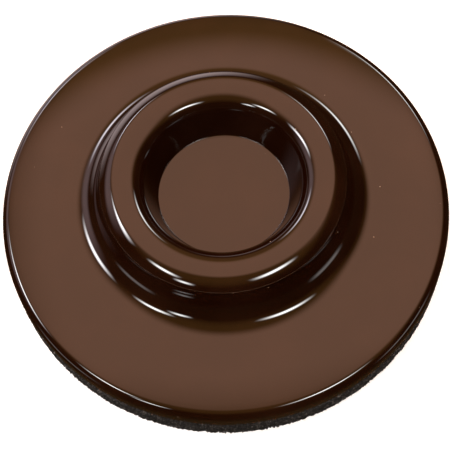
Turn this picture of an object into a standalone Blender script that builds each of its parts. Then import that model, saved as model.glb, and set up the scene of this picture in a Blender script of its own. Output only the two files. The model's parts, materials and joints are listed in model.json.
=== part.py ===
"""Caster cup: a domed brown moulding on an adhesive disc and a pad of bonded rubber crumb.

The frame's origin is the centre of the pad's underside, with +Z up along the axis of
symmetry. All sizes are in metres and all slopes in degrees, where 0 is level, 90 falls
straight down outwards, and a negative slope falls towards the axis.
"""

from math import cos, pi, radians, sin, tan

import bmesh
import bpy

# ---------------------------------------------------------------- driving sizes

# Pad and adhesive
PAD_OVERHANG = 0.0003  # how far the pad's crumb stands out past the rim
PAD_THICKNESS = 0.0110
ADHESIVE_THICKNESS = 0.0005
FACE_GAP = 0.0003  # between pieces that lie on each other
ADHESIVE_SIDE_GAP = 0.0005  # from the adhesive's edge to the inside of the rim

# Moulding, from the outside in
CUP_RADIUS = 0.0850
SHELL_WALL = 0.0028
RIM_WALL_HEIGHT = 0.0049  # the upright wall, up to the rolled edge
EDGE_RADIUS = 0.0040
BRIM_CROWN_RADIUS = 0.1385
BRIM_OUTER_SLOPE = 10.5
BRIM_INNER_SLOPE = 0.6
COVE_RADIUS = 0.0115
COVE_END_SLOPE = 60.0
COVE_WALL_RADIUS = 0.0206  # the cove opens out into the ring's nearly upright side
COVE_TOP_SLOPE = 88.8
RING_LEDGE = 0.0003  # the parting line's step, between the cove and the shoulder
SHOULDER_RADIUS = 0.0129
SHOULDER_END_SLOPE = 47.0
CREST_RADIUS = 0.0040  # the tighter turn from the shoulder onto the ring's top
CREST_SLOPE = 24.0
RING_OUTER_SLOPE = 6.0
RING_INNER_SLOPE = -10.8
RING_OUTER_RADIUS = 0.0448
RING_CROWN_RADIUS = 0.0164
LIP_RADIUS = 0.0080
CUP_WALL_SLOPE = -71.0
CUP_DEPTH = 0.0172
FLOOR_FILLET = 0.0006

# Inside the shell, the corner under the ring's ledge is trimmed to these slopes
SHOULDER_TRIM = 39.0
COVE_TRIM = 84.0

# Ribs under the shell
RIB_COUNT = 8
RIB_WALL = 0.0022
SUPPORT_RADIUS = 0.0200

# Mesh fineness
TURN_STEPS = 64
OUTSIDE_FINENESS = 1.0
INSIDE_FINENESS = 0.5

# ---------------------------------------------------------------- sizes that follow

RIM_BOTTOM = PAD_THICKNESS + FACE_GAP
ADHESIVE_TOP = RIM_BOTTOM + ADHESIVE_THICKNESS
RIB_BOTTOM = ADHESIVE_TOP + FACE_GAP
ADHESIVE_RADIUS = CUP_RADIUS - SHELL_WALL - ADHESIVE_SIDE_GAP
PAD_RADIUS = CUP_RADIUS + PAD_OVERHANG


# ---------------------------------------------------------------- the turned outline

def on_arc(centre, radius, slope):
    """The point of a convex arc where its surface has this slope.

    A hollow arc takes a negative radius, with its centre above the surface.
    """
    return (centre[0] + radius * sin(radians(slope)), centre[1] + radius * cos(radians(slope)))


def arc(centre, radius, first, last, steps):
    """Points along an arc from one slope to another, both ends included."""
    return [on_arc(centre, radius, first + (last - first) * i / steps) for i in range(steps + 1)]


def centre_from(point, radius, slope):
    """The centre of the arc that passes through a point with this slope."""
    return (point[0] - radius * sin(radians(slope)), point[1] - radius * cos(radians(slope)))


def outline_centres():
    """Arc centres from the rim to the cup floor, each tangent to the one before it."""
    edge = (CUP_RADIUS - EDGE_RADIUS, RIM_BOTTOM + RIM_WALL_HEIGHT)
    brim_end = on_arc(edge, EDGE_RADIUS, BRIM_OUTER_SLOPE)
    brim = centre_from(brim_end, BRIM_CROWN_RADIUS, BRIM_OUTER_SLOPE)
    # The cove's top lies on the ring's outer radius, which fixes how far the brim runs in.
    wall_x = RING_OUTER_RADIUS + COVE_WALL_RADIUS * sin(radians(COVE_TOP_SLOPE))
    cove_end_x = wall_x - COVE_WALL_RADIUS * sin(radians(COVE_END_SLOPE))
    cove_x = cove_end_x + COVE_RADIUS * sin(radians(COVE_END_SLOPE))
    foot_x = cove_x - COVE_RADIUS * sin(radians(BRIM_INNER_SLOPE))
    brim_start = on_arc(brim, BRIM_CROWN_RADIUS, BRIM_INNER_SLOPE)
    # A short straight run joins the brim's crown to the foot of the cove at the same slope.
    foot = (foot_x, brim_start[1] + (brim_start[0] - foot_x) * tan(radians(BRIM_INNER_SLOPE)))
    cove = centre_from(foot, -COVE_RADIUS, BRIM_INNER_SLOPE)
    cove_end = on_arc(cove, -COVE_RADIUS, COVE_END_SLOPE)
    cove_wall = centre_from(cove_end, -COVE_WALL_RADIUS, COVE_END_SLOPE)
    cove_top = on_arc(cove_wall, -COVE_WALL_RADIUS, COVE_TOP_SLOPE)
    shoulder_end = (cove_top[0] + RING_LEDGE, cove_top[1] + RING_LEDGE)
    shoulder = centre_from(shoulder_end, SHOULDER_RADIUS, SHOULDER_END_SLOPE)
    crest = centre_from(on_arc(shoulder, SHOULDER_RADIUS, CREST_SLOPE), CREST_RADIUS, CREST_SLOPE)
    crown_end = on_arc(crest, CREST_RADIUS, RING_OUTER_SLOPE)
    crown = centre_from(crown_end, RING_CROWN_RADIUS, RING_OUTER_SLOPE)
    lip_start = on_arc(crown, RING_CROWN_RADIUS, RING_INNER_SLOPE)
    lip = centre_from(lip_start, LIP_RADIUS, RING_INNER_SLOPE)
    floor_z = crown[1] + RING_CROWN_RADIUS - CUP_DEPTH
    # The straight cup wall runs down from the lip until it meets the floor's fillet.
    wall_top = on_arc(lip, LIP_RADIUS, CUP_WALL_SLOPE)
    fillet_z = floor_z + FLOOR_FILLET
    fillet_drop = fillet_z - FLOOR_FILLET * cos(radians(CUP_WALL_SLOPE))
    wall_run = (wall_top[1] - fillet_drop) / tan(radians(-CUP_WALL_SLOPE))
    fillet = (wall_top[0] - wall_run + FLOOR_FILLET * sin(radians(CUP_WALL_SLOPE)), fillet_z)
    return {
        "edge": edge, "brim": brim, "cove": cove, "cove_wall": cove_wall,
        "shoulder": shoulder, "crest": crest, "crown": crown, "lip": lip, "fillet": fillet,
    }


def surface(depth, shoulder_slope, cove_slope, fineness):
    """The moulding's outline, a given depth under its top face, from the rim to the axis.

    The last slope kept on the shoulder and on the cove can be less than the full one, which
    trims the corner between them where the outline runs inside it.
    """
    at = outline_centres()

    def bend(name, radius, first, last, steps):
        return arc(at[name], radius - depth, first, last, max(1, round(steps * fineness)))

    points = bend("edge", EDGE_RADIUS, 90, BRIM_OUTER_SLOPE, 6)
    points += bend("brim", BRIM_CROWN_RADIUS, BRIM_OUTER_SLOPE, BRIM_INNER_SLOPE, 4)[1:]
    points += bend("cove", -COVE_RADIUS, BRIM_INNER_SLOPE, COVE_END_SLOPE, 6)
    points += bend("cove_wall", -COVE_WALL_RADIUS, COVE_END_SLOPE, cove_slope, 3)[1:]
    points += bend("shoulder", SHOULDER_RADIUS, shoulder_slope, CREST_SLOPE, 3)
    points += bend("crest", CREST_RADIUS, CREST_SLOPE, RING_OUTER_SLOPE, 2)[1:]
    points += bend("crown", RING_CROWN_RADIUS, RING_OUTER_SLOPE, RING_INNER_SLOPE, 2)[1:]
    points += bend("lip", LIP_RADIUS, RING_INNER_SLOPE, CUP_WALL_SLOPE, 6)[1:]
    points += bend("fillet", -FLOOR_FILLET, CUP_WALL_SLOPE, 0, 4)
    points.append((0.0, points[-1][1]))
    return points


# ---------------------------------------------------------------- mesh helpers

def clear_scene():
    for old in list(bpy.data.objects):
        bpy.data.objects.remove(old, do_unlink=True)


def material(name, colour, roughness):
    made = bpy.data.materials.new(name)
    made.use_nodes = True
    shader = made.node_tree.nodes["Principled BSDF"]
    shader.inputs["Base Color"].default_value = (*colour, 1.0)
    shader.inputs["Roughness"].default_value = roughness
    shader.inputs["Metallic"].default_value = 0.0
    return made


def finish(name, bm, look=None):
    """Turn a bmesh into a scene object, smooth where its faces nearly line up."""
    bmesh.ops.recalc_face_normals(bm, faces=bm.faces)
    mesh = bpy.data.meshes.new(name)
    bm.to_mesh(mesh)
    bm.free()
    mesh.shade_smooth()
    mesh.set_sharp_from_angle(angle=radians(35))
    made = bpy.data.objects.new(name, mesh)
    bpy.context.scene.collection.objects.link(made)
    if look:
        mesh.materials.append(look)
    return made


def turned(points):
    """Spin a closed outline round Z; points on the axis become poles."""
    bm = bmesh.new()
    verts = [bm.verts.new((x, 0.0, z)) for x, z in points]
    edges = [bm.edges.new((a, b)) for a, b in zip(verts, verts[1:])]
    if points[0][0] > 0.0:
        edges.append(bm.edges.new((verts[-1], verts[0])))
    bmesh.ops.spin(
        bm, geom=verts + edges, cent=(0, 0, 0), axis=(0, 0, 1),
        angle=2 * pi, steps=TURN_STEPS, use_merge=True,
    )
    bmesh.ops.remove_doubles(bm, verts=bm.verts, dist=0.00001)
    return bm


def cutter(made):
    made.hide_render = True
    made.display_type = "WIRE"
    return made


# ---------------------------------------------------------------- pieces

def build_pad():
    """The pad is cut from sheet, so its edge is square."""
    outline = [(0.0, PAD_THICKNESS), (PAD_RADIUS, PAD_THICKNESS), (PAD_RADIUS, 0.0), (0.0, 0.0)]
    finish("rubber_pad", turned(outline), material("rubber_crumb", (0.020, 0.017, 0.016), 0.85))


def build_adhesive():
    """A thin sheet that fills the step inside the rim."""
    outline = [
        (0.0, ADHESIVE_TOP), (ADHESIVE_RADIUS, ADHESIVE_TOP),
        (ADHESIVE_RADIUS, RIM_BOTTOM), (0.0, RIM_BOTTOM),
    ]
    finish("adhesive_disc", turned(outline), material("adhesive_film", (0.62, 0.56, 0.42), 0.5))


def build_ribs():
    """Radial webs and a round support wall, with their tops buried halfway into the shell."""
    middle = SHELL_WALL / 2
    crest = surface(middle, SHOULDER_TRIM, COVE_TRIM, INSIDE_FINENESS)
    floor_middle = crest.pop()[1]
    outline = [(SUPPORT_RADIUS, RIB_BOTTOM), (CUP_RADIUS - middle, RIB_BOTTOM)] + crest
    outline.append((SUPPORT_RADIUS, floor_middle))
    webs = bmesh.new()
    for i in range(RIB_COUNT):
        turn = 2 * pi * (i + 0.5) / RIB_COUNT
        along = (cos(turn), sin(turn))
        near = [
            webs.verts.new((x * along[0] + RIB_WALL / 2 * along[1], x * along[1] - RIB_WALL / 2 * along[0], z))
            for x, z in outline
        ]
        face = webs.faces.new(near)
        grown = bmesh.ops.extrude_face_region(webs, geom=[face])
        moved = [v for v in grown["geom"] if isinstance(v, bmesh.types.BMVert)]
        bmesh.ops.translate(webs, verts=moved, vec=(-RIB_WALL * along[1], RIB_WALL * along[0], 0.0))
    half = RIB_WALL / 2
    wall = [
        (SUPPORT_RADIUS + half, floor_middle), (SUPPORT_RADIUS + half, RIB_BOTTOM),
        (SUPPORT_RADIUS - half, RIB_BOTTOM), (SUPPORT_RADIUS - half, floor_middle),
    ]
    return cutter(finish("rib_webs", webs)), cutter(finish("support_wall", turned(wall)))


def build_cup():
    """The moulding: its top face, its rim, and the inside of the shell, joined to the ribs."""
    top = surface(0.0, SHOULDER_END_SLOPE, COVE_TOP_SLOPE, OUTSIDE_FINENESS)
    inside = surface(SHELL_WALL, SHOULDER_TRIM, COVE_TRIM, INSIDE_FINENESS)
    rim = [(CUP_RADIUS - SHELL_WALL, RIM_BOTTOM), (CUP_RADIUS, RIM_BOTTOM)]
    outline = list(reversed(inside)) + rim + top
    cup = finish("moulded_cup", turned(outline), material("brown_plastic", (0.085, 0.027, 0.008), 0.12))
    for piece in build_ribs():
        joined = cup.modifiers.new(piece.name, "BOOLEAN")
        joined.operation = "UNION"
        joined.solver = "EXACT"
        joined.object = piece


clear_scene()
build_pad()
build_adhesive()
build_cup()
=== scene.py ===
"""A brown caster cup on its pad of bonded rubber crumb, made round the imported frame.

Metres, +Z up, with the origin at the centre of the pad's underside. The pieces come in the
order in which they are put together, from the floor up. A slope is in degrees: 0 is level,
90 falls straight down outwards, and a negative slope falls towards the axis.
"""

import json
from math import cos, pi, radians, sin

import bmesh
import bpy
from mathutils import Matrix, Vector, noise


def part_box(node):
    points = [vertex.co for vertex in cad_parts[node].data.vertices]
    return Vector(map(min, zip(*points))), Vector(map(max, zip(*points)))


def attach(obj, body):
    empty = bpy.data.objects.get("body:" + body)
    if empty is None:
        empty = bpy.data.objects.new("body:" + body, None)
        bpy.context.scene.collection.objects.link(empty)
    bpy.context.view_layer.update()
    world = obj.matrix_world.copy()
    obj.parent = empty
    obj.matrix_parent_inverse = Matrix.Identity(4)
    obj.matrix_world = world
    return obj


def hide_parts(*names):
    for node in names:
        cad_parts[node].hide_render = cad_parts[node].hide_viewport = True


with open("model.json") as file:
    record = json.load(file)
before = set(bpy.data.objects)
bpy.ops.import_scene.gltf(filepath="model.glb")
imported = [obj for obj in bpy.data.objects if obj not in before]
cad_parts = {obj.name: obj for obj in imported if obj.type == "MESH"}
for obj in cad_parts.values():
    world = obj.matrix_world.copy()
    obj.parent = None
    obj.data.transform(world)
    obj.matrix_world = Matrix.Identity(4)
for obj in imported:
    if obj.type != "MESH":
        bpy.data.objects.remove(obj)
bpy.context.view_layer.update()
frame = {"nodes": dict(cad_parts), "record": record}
mounts = {m["name"]: m for m in frame["record"]["mounts"]}
FLOOR_Z = mounts["pad_underside"]["pos_m"][2]
MM = 0.001

# ------------------------------------------------------------------ rubber pad
# A disc of black tyre crumb, bonded under pressure and cut from sheet. It stands
# under the moulding to grip the floor and to keep the piano's hum out of it. Its cut
# edge shows the crumb: rounded grains of about a millimetre, with gaps between them.
PAD_LOW, PAD_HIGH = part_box("rubber_pad")
PAD_RADIUS = PAD_HIGH.x
PAD_EDGE_STEPS = 34
PAD_TURN_STEPS = 1800
CRUMB = 1.00 * MM
CRUMB_DEPTH = 0.85 * MM
LUMP = 1.9 * MM
LUMP_DEPTH = 0.55 * MM
CRACK_NARROWNESS = 2.6
CRACK_POWER = 1.5
ROUGH_BAND = 1.5 * MM  # how far in from the cut edge the crumb still moves
CORNER_BAND = 0.4 * MM
CORNER_SAG = 0.3
CAP_RINGS = (0.35 * MM, 0.35 * MM, 0.5 * MM, 1.0 * MM)


def srgb(code):
    """A colour's hex code as linear light."""
    parts = [int(code[i:i + 2], 16) / 255 for i in (1, 3, 5)]
    return tuple(p / 12.92 if p <= 0.04045 else ((p + 0.055) / 1.055) ** 2.4 for p in parts) + (1.0,)


def add(tree, kind, links=(), inputs=(), **settings):
    """Add a node: links are (input, node, output), inputs are (input, value)."""
    made = tree.nodes.new(kind)
    for name, value in settings.items():
        setattr(made, name, value)
    for name, value in inputs:
        made.inputs[name].default_value = value
    for name, source, output in links:
        tree.links.new(source.outputs[output], made.inputs[name])
    return made


def new_material(name, **values):
    """A material with one Principled shader, and that shader's own values."""
    made = bpy.data.materials.new(name)
    made.use_nodes = True
    shader = made.node_tree.nodes["Principled BSDF"]
    for key, value in values.items():
        shader.inputs[key.replace("_", " ")].default_value = value
    return made, made.node_tree, shader


def finish_piece(name, bm, material, sharp=35):
    """Turn a bmesh into an object whose mesh is already in its place."""
    bmesh.ops.recalc_face_normals(bm, faces=bm.faces)
    mesh = bpy.data.meshes.new(name)
    bm.to_mesh(mesh)
    bm.free()
    mesh.materials.append(material)
    mesh.shade_smooth()
    mesh.set_sharp_from_angle(angle=radians(sharp))
    made = bpy.data.objects.new(name, mesh)
    bpy.context.scene.collection.objects.link(made)
    return made


def spin_round(bm, steps):
    """Spin everything drawn so far once round the Z axis, and close its seam and poles."""
    bmesh.ops.spin(
        bm, geom=bm.verts[:] + bm.edges[:], cent=(0, 0, 0), axis=(0, 0, 1),
        angle=2 * pi, steps=steps, use_merge=True,
    )
    bmesh.ops.remove_doubles(bm, verts=bm.verts, dist=0.002 * MM)


# Bonded tyre crumb: charcoal grains, some dusty grey and a few nearly black, all matt.
crumb, tree, shader = new_material("bonded_rubber_crumb", Roughness=0.62, IOR=1.52)
where = add(tree, "ShaderNodeTexCoord")
grain = add(
    tree, "ShaderNodeTexVoronoi", [("Vector", where, "Object")],
    [("Scale", 1 / CRUMB), ("Randomness", 1.0)],
)
shade = add(tree, "ShaderNodeSeparateColor", [("Color", grain, "Color")])
tone = add(tree, "ShaderNodeValToRGB", [("Fac", shade, "Red")])
tone.color_ramp.elements[0].color = srgb("#121111")
tone.color_ramp.elements[1].color = srgb("#625E5B")
middle = tone.color_ramp.elements.new(0.62)
middle.color = srgb("#292726")
# The gaps between grains are painted near-black: painted shade in the crevices between the grains.
gap = add(
    tree, "ShaderNodeTexVoronoi", [("Vector", where, "Object")],
    [("Scale", 1 / CRUMB), ("Randomness", 1.0)], feature="DISTANCE_TO_EDGE",
)
gap_shade_mask = add(
    tree, "ShaderNodeMapRange", [("Value", gap, "Distance")],
    [("From Min", 0.02), ("From Max", 0.22), ("To Min", 0.0), ("To Max", 1.0)],
)
gap_painted_shade = add(tree, "ShaderNodeMix", [("Factor", gap_shade_mask, "Result")], data_type="RGBA")
gap_painted_shade.inputs[6].default_value = srgb("#040404")
tree.links.new(tone.outputs["Color"], gap_painted_shade.inputs[7])
tree.links.new(gap_painted_shade.outputs[2], shader.inputs["Base Color"])
grit = add(
    tree, "ShaderNodeTexNoise", [("Vector", where, "Object")],
    [("Scale", 1 / (0.4 * MM)), ("Detail", 2.0), ("Roughness", 0.6)],
)
relief = add(
    tree, "ShaderNodeBump", [("Height", grit, "Fac")],
    [("Strength", 0.6), ("Distance", 0.12 * MM)],
)
tree.links.new(relief.outputs["Normal"], shader.inputs["Normal"])

bm = bmesh.new()
PAD_THICKNESS = PAD_HIGH.z - PAD_LOW.z
bmesh.ops.create_cone(
    bm, cap_ends=True, cap_tris=False, segments=PAD_TURN_STEPS,
    radius1=PAD_RADIUS, radius2=PAD_RADIUS, depth=PAD_THICKNESS,
)
bmesh.ops.translate(bm, verts=bm.verts, vec=(0, 0, PAD_LOW.z + PAD_THICKNESS / 2))
upright = [e for e in bm.edges if abs(e.verts[0].co.z - e.verts[1].co.z) > PAD_THICKNESS / 2]
bmesh.ops.subdivide_edges(bm, edges=upright, cuts=PAD_EDGE_STEPS, use_grid_fill=True)
caps = [f for f in bm.faces if len(f.verts) > 4]
for width in CAP_RINGS:
    bmesh.ops.inset_individual(bm, faces=caps, thickness=width, use_even_offset=True)
# Each vertex near the edge moves inwards to the surface of its grain.
for v in bm.verts:
    flat = Vector((v.co.x, v.co.y, 0.0))
    side = max(0.0, 1.0 - (PAD_RADIUS - flat.length) / ROUGH_BAND)
    if side == 0.0:
        continue
    near = noise.voronoi(v.co / CRUMB)[0]
    crack = max(0.0, 1.0 - (near[1] - near[0]) * CRACK_NARROWNESS) ** CRACK_POWER
    lump = max(0.0, noise.noise(v.co / LUMP))
    depth = side * (CRUMB_DEPTH * crack + LUMP_DEPTH * lump)
    top = min(1.0, (PAD_HIGH.z - v.co.z) / CORNER_BAND)
    low = min(1.0, (v.co.z - PAD_LOW.z) / CORNER_BAND)
    v.co -= flat.normalized() * depth
    v.co.z += depth * CORNER_SAG * (top - low)
pad = finish_piece("rubber_pad_crumb", bm, crumb, sharp=80)
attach(pad, "root")
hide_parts("rubber_pad")

# ------------------------------------------------------------------ adhesive disc
# Double-sided film in the step inside the rim. It holds the pad to the moulding and
# closes the underside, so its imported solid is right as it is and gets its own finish.
# Acrylic adhesive on a film carrier: cream, slightly mottled, with a soft sheen.
film, tree, shader = new_material("acrylic_adhesive_film", Roughness=0.42, IOR=1.47)
where = add(tree, "ShaderNodeTexCoord")
mottle = add(
    tree, "ShaderNodeTexNoise", [("Vector", where, "Object")],
    [("Scale", 1 / (9 * MM)), ("Detail", 3.0)],
)
tone = add(tree, "ShaderNodeValToRGB", [("Fac", mottle, "Fac")])
tone.color_ramp.elements[0].color = srgb("#C4BAA2")
tone.color_ramp.elements[1].color = srgb("#D8D0BC")
tree.links.new(tone.outputs["Color"], shader.inputs["Base Color"])
weave = add(
    tree, "ShaderNodeBump", [("Height", mottle, "Fac")],
    [("Strength", 0.3), ("Distance", 0.05 * MM)],
)
tree.links.new(weave.outputs["Normal"], shader.inputs["Normal"])
disc = frame["nodes"]["adhesive_disc"]
disc.data.materials.clear()
disc.data.materials.append(film)

# ------------------------------------------------------------------ moulded cup
# One injection moulding in dark brown plastic: an upright rim, a domed brim that rises
# in a cove, and a crowned ring round the flat-floored cup that the caster stands in.
# Polished tools give its gloss; they part on the rim and where the ring meets the cove.
CUP_LOW, CUP_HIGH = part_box("moulded_cup")
CUP_RADIUS = CUP_HIGH.x
SEAT_Z = mounts["caster_seat"]["pos_m"][2]
SHELL_WALL = 2.8 * MM
RIM_WALL_HEIGHT = 4.9 * MM
RIM_LINE_HEIGHT = 3.0 * MM
RIM_LINE_WIDTH = 0.22 * MM
RIM_LINE_DEPTH = 0.10 * MM
RIM_FOOT_RADIUS = 0.3 * MM
EDGE_RADIUS = 4.0 * MM
BRIM_CROWN_RADIUS = 138.5 * MM
BRIM_OUTER_SLOPE = 10.5
BRIM_INNER_SLOPE = 0.6
BRIM_RUN = 0.55 * MM
COVE_RADIUS = 11.5 * MM
COVE_END_SLOPE = 60.0
COVE_WALL_RADIUS = 20.6 * MM
COVE_TOP_SLOPE = 88.8
PARTING_LINE_FILLET = 0.10 * MM
PARTING_LINE_STEP = 0.20 * MM
PARTING_LINE_CORNER = 0.06 * MM
SHOULDER_RADIUS = 12.9 * MM
SHOULDER_END_SLOPE = 47.0
CREST_RADIUS = 4.0 * MM
CREST_SLOPE = 24.0
RING_OUTER_SLOPE = 6.0
RING_INNER_SLOPE = -10.8
RING_CROWN_RADIUS = 16.4 * MM
LIP_RADIUS = 8.0 * MM
CUP_WALL_SLOPE = -71.0
CUP_WALL_RUN = 11.9 * MM
FLOOR_FILLET = 0.6 * MM
SHOULDER_TRIM = 39.0
COVE_TRIM = 84.0
RIB_COUNT = 8
RIB_WALL = 2.2 * MM
FACE_GAP = 0.3 * MM
RIB_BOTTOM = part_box("adhesive_disc")[1].z + FACE_GAP
SUPPORT_RADIUS = 20.0 * MM
CUP_TURN_STEPS = 360
PARTING_LINE_Z = SEAT_Z + 13.66 * MM
# Width of the painted highlight along the parting line.
PARTING_HIGHLIGHT_WIDTH = 0.14 * MM
PARTING_HIGHLIGHT_INNER_RADIUS = 40 * MM  # the cup's wall, further in, has no parting line

# Glossy brown styrene, moulded in a polished tool: an even dark brown body under a clear
# sharp gloss, with faint flow and polishing marks, a little handling haze and stray dust.
plastic, tree, shader = new_material("glossy_brown_moulding", Roughness=0.07, IOR=1.52)
where = add(tree, "ShaderNodeTexCoord")
flow = add(
    tree, "ShaderNodeTexNoise", [("Vector", where, "Object")],
    [("Scale", 1 / (22 * MM)), ("Detail", 4.0), ("Roughness", 0.55)],
)
body = add(tree, "ShaderNodeValToRGB", [("Fac", flow, "Fac")])
body.color_ramp.elements[0].color = srgb("#130501")
body.color_ramp.elements[1].color = srgb("#180702")
film = add(
    tree, "ShaderNodeMapRange", [("Value", flow, "Fac")],
    [("From Min", 0.45), ("From Max", 0.75), ("To Min", 0.0), ("To Max", 0.03)],
)
hazed = add(tree, "ShaderNodeMix", [("Factor", film, "Result")], data_type="RGBA")
hazed.inputs[7].default_value = srgb("#6B4A36")
tree.links.new(body.outputs["Color"], hazed.inputs[6])
dust = add(
    tree, "ShaderNodeTexVoronoi", [("Vector", where, "Object")],
    [("Scale", 1 / (7.5 * MM)), ("Randomness", 1.0)],
)
speck = add(
    tree, "ShaderNodeMapRange", [("Value", dust, "Distance")],
    [("From Min", 0.020), ("From Max", 0.030), ("To Min", 0.75), ("To Max", 0.0)],
)
dusted = add(
    tree, "ShaderNodeMix", [("Factor", speck, "Result")], data_type="RGBA",
)
dusted.inputs[7].default_value = srgb("#B9A796")
tree.links.new(hazed.outputs[2], dusted.inputs[6])
# Along the parting line a fine paler thread is painted in: a painted highlight standing in for the
# glint on the small corner there.
place = add(tree, "ShaderNodeSeparateXYZ", [("Vector", where, "Object")])
above = add(tree, "ShaderNodeMath", [(0, place, "Z")], [(1, PARTING_LINE_Z)], operation="SUBTRACT")
away = add(tree, "ShaderNodeMath", [(0, above, 0)], operation="ABSOLUTE")
parting_highlight_mask = add(
    tree, "ShaderNodeMapRange", [("Value", away, 0)],
    [("From Min", 0.5 * PARTING_HIGHLIGHT_WIDTH), ("From Max", PARTING_HIGHLIGHT_WIDTH), ("To Min", 0.8), ("To Max", 0.0)],
)
level = add(
    tree, "ShaderNodeVectorMath", [(0, where, "Object")], [(1, (1.0, 1.0, 0.0))], operation="MULTIPLY",
)
radius = add(tree, "ShaderNodeVectorMath", [(0, level, 0)], operation="LENGTH")
outside = add(
    tree, "ShaderNodeMath", [(0, radius, "Value")], [(1, PARTING_HIGHLIGHT_INNER_RADIUS)],
    operation="GREATER_THAN",
)
outer_parting_highlight = add(
    tree, "ShaderNodeMath", [(0, parting_highlight_mask, "Result"), (1, outside, 0)], operation="MULTIPLY",
)
parting_painted_highlight = add(tree, "ShaderNodeMix", [("Factor", outer_parting_highlight, 0)], data_type="RGBA")
parting_painted_highlight.inputs[7].default_value = srgb("#9C8474")
tree.links.new(dusted.outputs[2], parting_painted_highlight.inputs[6])
tree.links.new(parting_painted_highlight.outputs[2], shader.inputs["Base Color"])
haze = add(
    tree, "ShaderNodeTexNoise", [("Vector", where, "Object")],
    [("Scale", 1 / (14 * MM)), ("Detail", 6.0), ("Roughness", 0.65)],
)
gloss = add(
    tree, "ShaderNodeMapRange", [("Value", haze, "Fac")],
    [("From Min", 0.3), ("From Max", 0.75), ("To Min", 0.025), ("To Max", 0.055)],
)
tree.links.new(gloss.outputs["Result"], shader.inputs["Roughness"])
# The tool was turned, which leaves very fine rings in the gloss.
turning = add(
    tree, "ShaderNodeTexNoise", [("W", radius, "Value")],
    [("Scale", 1 / (0.9 * MM)), ("Detail", 2.0)], noise_dimensions="1D",
)
fine_rings = add(
    tree, "ShaderNodeBump", [("Height", turning, "Fac")],
    [("Strength", 0.5), ("Distance", 0.0015 * MM)],
)
tree.links.new(fine_rings.outputs["Normal"], shader.inputs["Normal"])


class Outline:
    """A section of the moulding, drawn towards the axis by a point that travels on."""

    def __init__(self, bm, tip, slope):
        self.bm, self.tip, self.slope = bm, tip, slope

    def move(self, x, z):
        """Draw a straight line on by this much."""
        grown = bmesh.ops.extrude_vert_indiv(self.bm, verts=[self.tip])["verts"]
        bmesh.ops.translate(self.bm, verts=grown, vec=(x, 0.0, z))
        self.tip = grown[0]

    def run(self, length, slope=None):
        """Go straight on, at the present slope unless another is given."""
        turn = radians(self.slope if slope is None else slope)
        self.move(-length * cos(turn), length * sin(turn))

    def bend(self, radius, slope, steps):
        """Go round an arc to a new slope; a hollow arc takes a negative radius."""
        turn = radians(self.slope)
        centre = (self.tip.co.x - radius * sin(turn), 0.0, self.tip.co.z - radius * cos(turn))
        drawn = bmesh.ops.spin(
            self.bm, geom=[self.tip], cent=centre, axis=(0, 1, 0),
            angle=radians(slope - self.slope), steps=steps,
        )
        self.tip = [g for g in drawn["geom_last"] if isinstance(g, bmesh.types.BMVert)][0]
        self.slope = slope


def draw_brim(path, depth):
    """From the top of the rim's wall into the cove, a given depth under the top face."""
    path.bend(EDGE_RADIUS - depth, BRIM_OUTER_SLOPE, 16)
    path.bend(BRIM_CROWN_RADIUS - depth, BRIM_INNER_SLOPE, 12)
    path.run(BRIM_RUN)
    path.bend(-COVE_RADIUS - depth, COVE_END_SLOPE, 18)


def draw_cup(path, depth, wall_run):
    """From the middle of the shoulder over the ring and down to the middle of the cup."""
    path.bend(SHOULDER_RADIUS - depth, CREST_SLOPE, 6)
    path.bend(CREST_RADIUS - depth, RING_OUTER_SLOPE, 6)
    path.bend(RING_CROWN_RADIUS - depth, RING_INNER_SLOPE, 8)
    path.bend(LIP_RADIUS - depth, CUP_WALL_SLOPE, 18)
    path.run(wall_run)
    path.bend(-FLOOR_FILLET - depth, 0.0, 6)
    path.move(-path.tip.co.x, 0.0)


bm = bmesh.new()
foot = bm.verts.new((CUP_RADIUS - RIM_FOOT_RADIUS, 0.0, CUP_LOW.z))
path = Outline(bm, foot, 180.0)
path.bend(RIM_FOOT_RADIUS, 90.0, 4)
path.run(RIM_LINE_HEIGHT - RIM_FOOT_RADIUS)
path.run(RIM_LINE_DEPTH, 0.0)
path.run(RIM_LINE_WIDTH)
path.run(RIM_LINE_DEPTH, 180.0)
path.run(RIM_WALL_HEIGHT - RIM_LINE_HEIGHT - RIM_LINE_WIDTH)
draw_brim(path, 0.0)
path.bend(-COVE_WALL_RADIUS, COVE_TOP_SLOPE, 8)
path.bend(-PARTING_LINE_FILLET, 150.0, 4)
path.run(PARTING_LINE_STEP)
path.bend(PARTING_LINE_CORNER, SHOULDER_END_SLOPE, 5)
path.bend(SHOULDER_RADIUS, SHOULDER_TRIM, 4)
shoulder = path.tip.co.copy()
draw_cup(path, 0.0, CUP_WALL_RUN)

# The inside follows the top face one wall's thickness below, and cuts under the ledge.
path = Outline(bm, foot, 0.0)
path.run(SHELL_WALL - RIM_FOOT_RADIUS)
path.slope = 90.0
path.run(RIM_WALL_HEIGHT)
draw_brim(path, SHELL_WALL)
path.bend(-COVE_WALL_RADIUS - SHELL_WALL, COVE_TRIM, 8)
under = shoulder - SHELL_WALL * Vector((sin(radians(SHOULDER_TRIM)), 0.0, cos(radians(SHOULDER_TRIM))))
path.move(under.x - path.tip.co.x, under.z - path.tip.co.z)
path.slope = SHOULDER_TRIM
draw_cup(path, SHELL_WALL, CUP_WALL_RUN)
spin_round(bm, CUP_TURN_STEPS)

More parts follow.
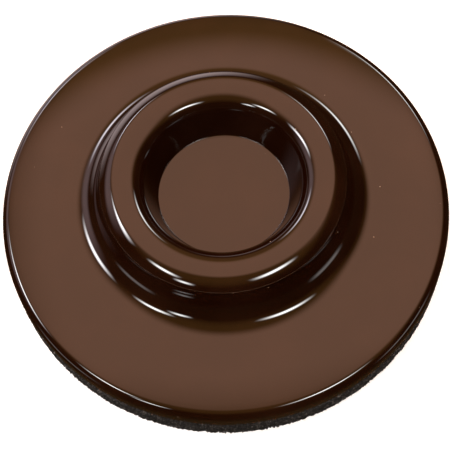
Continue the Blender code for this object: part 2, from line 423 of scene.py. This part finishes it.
# Eight webs and a round wall under the cup stiffen the shell. Their tops are buried in it.
webs = bmesh.new()
start = webs.verts.new((CUP_RADIUS - SHELL_WALL / 2, 0.0, CUP_LOW.z + RIM_WALL_HEIGHT))
path = Outline(webs, start, 90.0)
draw_brim(path, SHELL_WALL / 2)
path.bend(-COVE_WALL_RADIUS - SHELL_WALL / 2, COVE_TRIM, 4)
middle = (shoulder + under) / 2
path.move(middle.x - path.tip.co.x, middle.z - path.tip.co.z)
path.slope = SHOULDER_TRIM
draw_cup(path, SHELL_WALL / 2, CUP_WALL_RUN)
bmesh.ops.translate(webs, verts=[path.tip], vec=(SUPPORT_RADIUS, 0.0, 0.0))
grown = bmesh.ops.extrude_edge_only(webs, edges=webs.edges)["geom"]
for v in [g for g in grown if isinstance(g, bmesh.types.BMVert)]:
    v.co.z = RIB_BOTTOM
bmesh.ops.translate(webs, verts=webs.verts, vec=(0.0, RIB_WALL / 2, 0.0))
grown = bmesh.ops.extrude_face_region(webs, geom=webs.faces[:])["geom"]
bmesh.ops.translate(
    webs, verts=[g for g in grown if isinstance(g, bmesh.types.BMVert)], vec=(0.0, -RIB_WALL, 0.0),
)
bmesh.ops.rotate(
    webs, verts=webs.verts, cent=(0, 0, 0), matrix=Matrix.Rotation(pi / RIB_COUNT, 3, "Z"),
)
bmesh.ops.spin(
    webs, geom=webs.verts[:] + webs.edges[:] + webs.faces[:], cent=(0, 0, 0), axis=(0, 0, 1),
    angle=2 * pi * (RIB_COUNT - 1) / RIB_COUNT, steps=RIB_COUNT - 1, use_duplicate=True,
)
top_z = SEAT_Z - SHELL_WALL / 2
ends = [webs.verts.new((SUPPORT_RADIUS + side * RIB_WALL / 2, 0.0, top_z)) for side in (-1, 1)]
line = webs.edges.new(ends)
grown = bmesh.ops.extrude_edge_only(webs, edges=[line])["geom"]
lower = [g for g in grown if isinstance(g, bmesh.types.BMVert)]
bmesh.ops.translate(webs, verts=lower, vec=(0.0, 0.0, RIB_BOTTOM - top_z))
section = ends + lower
bmesh.ops.delete(webs, geom=[f for f in section[0].link_faces], context="FACES_ONLY")
bmesh.ops.spin(
    webs, geom=section + list({e for v in section for e in v.link_edges}), cent=(0, 0, 0),
    axis=(0, 0, 1), angle=2 * pi, steps=CUP_TURN_STEPS, use_merge=True,
)
stiffening = bpy.data.meshes.new("stiffening")
webs.to_mesh(stiffening)
webs.free()
bm.from_mesh(stiffening)
bpy.data.meshes.remove(stiffening)
cup = finish_piece("moulded_cup_shell", bm, plastic)
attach(cup, "root")
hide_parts("moulded_cup")

# ------------------------------------------------------------------ floor
# A plain white table. It isn't part of the cup. It hangs just clear of the pad, so
# that the two faces don't flicker through each other.
FLOOR_CLEARANCE = 0.05 * MM
FLOOR_HALF_WIDTH = 12.0
bm = bmesh.new()
bmesh.ops.create_grid(bm, x_segments=1, y_segments=1, size=FLOOR_HALF_WIDTH)
bmesh.ops.translate(bm, verts=bm.verts, vec=(0, 0, FLOOR_Z - FLOOR_CLEARANCE))
# Matt white laminate, lit from within so that it stays an even white round the cup.
table_top, tree, shader = new_material("white_table", Roughness=0.9, IOR=1.3)
shader.inputs["Base Color"].default_value = srgb("#EDEDED")
shader.inputs["Emission Color"].default_value = srgb("#FFFFFF")
shader.inputs["Emission Strength"].default_value = 0.55
table = finish_piece("table", bm, table_top)
table.visible_glossy = False
table.visible_shadow = False

# ------------------------------------------------------------------ light
# A warm softbox hangs level over the cup, and small lamps stand round it. Each fades
# towards its borders. Directions are azimuth from +X towards +Y, and zenith, in degrees.
AIM = Vector((0.0, 0.0, 30 * MM))
LAMP_DISTANCE = 1.5


def toward(azimuth, zenith):
    a, z = radians(azimuth), radians(zenith)
    return Vector((cos(a) * sin(z), sin(a) * sin(z), cos(z)))


def lamp(name, place, facing, size, radiance, tint="#FFFFFF", fade=0.35):
    """A rectangular lamp; fade is the part of each half-width that dims to nothing."""
    light = bpy.data.lights.new(name, "AREA")
    light.shape = "RECTANGLE"
    light.size, light.size_y = size
    light.energy = radiance * pi * size[0] * size[1]
    light.color = srgb(tint)[:3]
    light.use_nodes = True
    tree = light.node_tree
    spot = add(tree, "ShaderNodeNewGeometry")
    across = add(tree, "ShaderNodeSeparateXYZ", [("Vector", spot, "Parametric")])
    borders = []
    for axis in ("X", "Y"):
        off = add(tree, "ShaderNodeMath", [(0, across, axis)], [(1, 0.5)], operation="SUBTRACT")
        far = add(tree, "ShaderNodeMath", [(0, off, 0)], operation="ABSOLUTE")
        borders.append(add(
            tree, "ShaderNodeMapRange", [("Value", far, 0)],
            [("From Min", 0.5 * (1.0 - fade)), ("From Max", 0.5), ("To Min", 1.0), ("To Max", 0.0)],
            interpolation_type="SMOOTHSTEP",
        ))
    both = add(
        tree, "ShaderNodeMath", [(0, borders[0], 0), (1, borders[1], 0)], operation="MULTIPLY",
    )
    tree.links.new(both.outputs[0], tree.nodes["Emission"].inputs["Strength"])
    made = bpy.data.objects.new(name, light)
    bpy.context.scene.collection.objects.link(made)
    made.location = place
    made.rotation_mode = "QUATERNION"
    made.rotation_quaternion = facing.to_track_quat("Z", "Y")
    made.visible_camera = False
    return made


def round_lamp(name, azimuth, zenith, size, radiance, tint="#FFFFFF", fade=1.0):
    way = toward(azimuth, zenith)
    return lamp(name, AIM + way * LAMP_DISTANCE, way, size, radiance, tint, fade)


lamp("overhead_softbox", (0.095, 0.40, 1.03), Vector((0, 0, 1)), (2.44, 1.74), 1.98, "#FFC1A9", 0.6)
lamp("ceiling_glow", (0.1, 0.05, 1.10), Vector((0, 0, 1)), (3.8, 3.8), 0.50, "#FFBC65", 0.7)
round_lamp("left_lamp", 170, 50, (0.86, 0.34), 34.0, "#FFFCFF")
round_lamp("left_near_high", 217, 48, (0.62, 0.26), 36.0)
round_lamp("left_near_low", 236, 58, (0.40, 0.24), 26.0)
round_lamp("right_near", 305, 43, (0.84, 0.30), 36.0)
round_lamp("right_far", 54, 59, (0.80, 0.28), 20.0)
round_lamp("left_far", 121, 64, (0.80, 0.30), 16.0, "#F9F3FF")
# The room glows brown behind the softbox and mauve to the left; in front it's dark.
round_lamp("far_glow", 90, 58, (2.4, 1.1), 0.62, "#FFBC73", 0.7)
round_lamp("far_wall", 112, 98, (2.6, 1.1), 1.9, "#FFE7E7", 0.7)
round_lamp("left_wall", 150, 64, (2.0, 0.9), 1.5, "#FFDDDF", 0.8)
round_lamp("left_card", 205, 97, (0.9, 0.36), 1.6, "#FFF9F7", 0.7)
round_lamp("right_card", 335, 95, (0.9, 0.40), 2.0, "#FFF9F7", 0.7)

world = bpy.data.worlds.new("studio")
bpy.context.scene.world = world
world.use_nodes = True
tree = world.node_tree
tree.nodes.clear()
path = add(tree, "ShaderNodeLightPath")
dim = add(tree, "ShaderNodeBackground", inputs=[("Color", srgb("#FFCE89")), ("Strength", 0.05)])
pale = add(tree, "ShaderNodeBackground", inputs=[("Color", srgb("#F7F7F7")), ("Strength", 1.0)])
both = add(tree, "ShaderNodeMixShader", [("Fac", path, "Is Camera Ray")])
tree.links.new(dim.outputs[0], both.inputs[1])
tree.links.new(pale.outputs[0], both.inputs[2])
add(tree, "ShaderNodeOutputWorld", [("Surface", both, 0)])

# ------------------------------------------------------------------ camera
CAMERA_TILT = 65.91  # above the horizon
CAMERA_ROLL = -4.77
CAMERA_LENS = 89.27
CAMERA_AT = (-0.00058, -0.1818, 0.4021)
camera = bpy.data.objects.new("camera", bpy.data.cameras.new("camera"))
bpy.context.scene.collection.objects.link(camera)
camera.data.sensor_width = 36.0
camera.data.lens = CAMERA_LENS
camera.data.clip_start = 0.02
camera.data.clip_end = 50.0
camera.matrix_world = (
    Matrix.Translation(CAMERA_AT)
    @ Matrix.Rotation(radians(90.0 - CAMERA_TILT), 4, "X")
    @ Matrix.Rotation(radians(CAMERA_ROLL), 4, "Z")
)
bpy.context.scene.camera = camera
bpy.context.scene.view_settings.view_transform = "Standard"
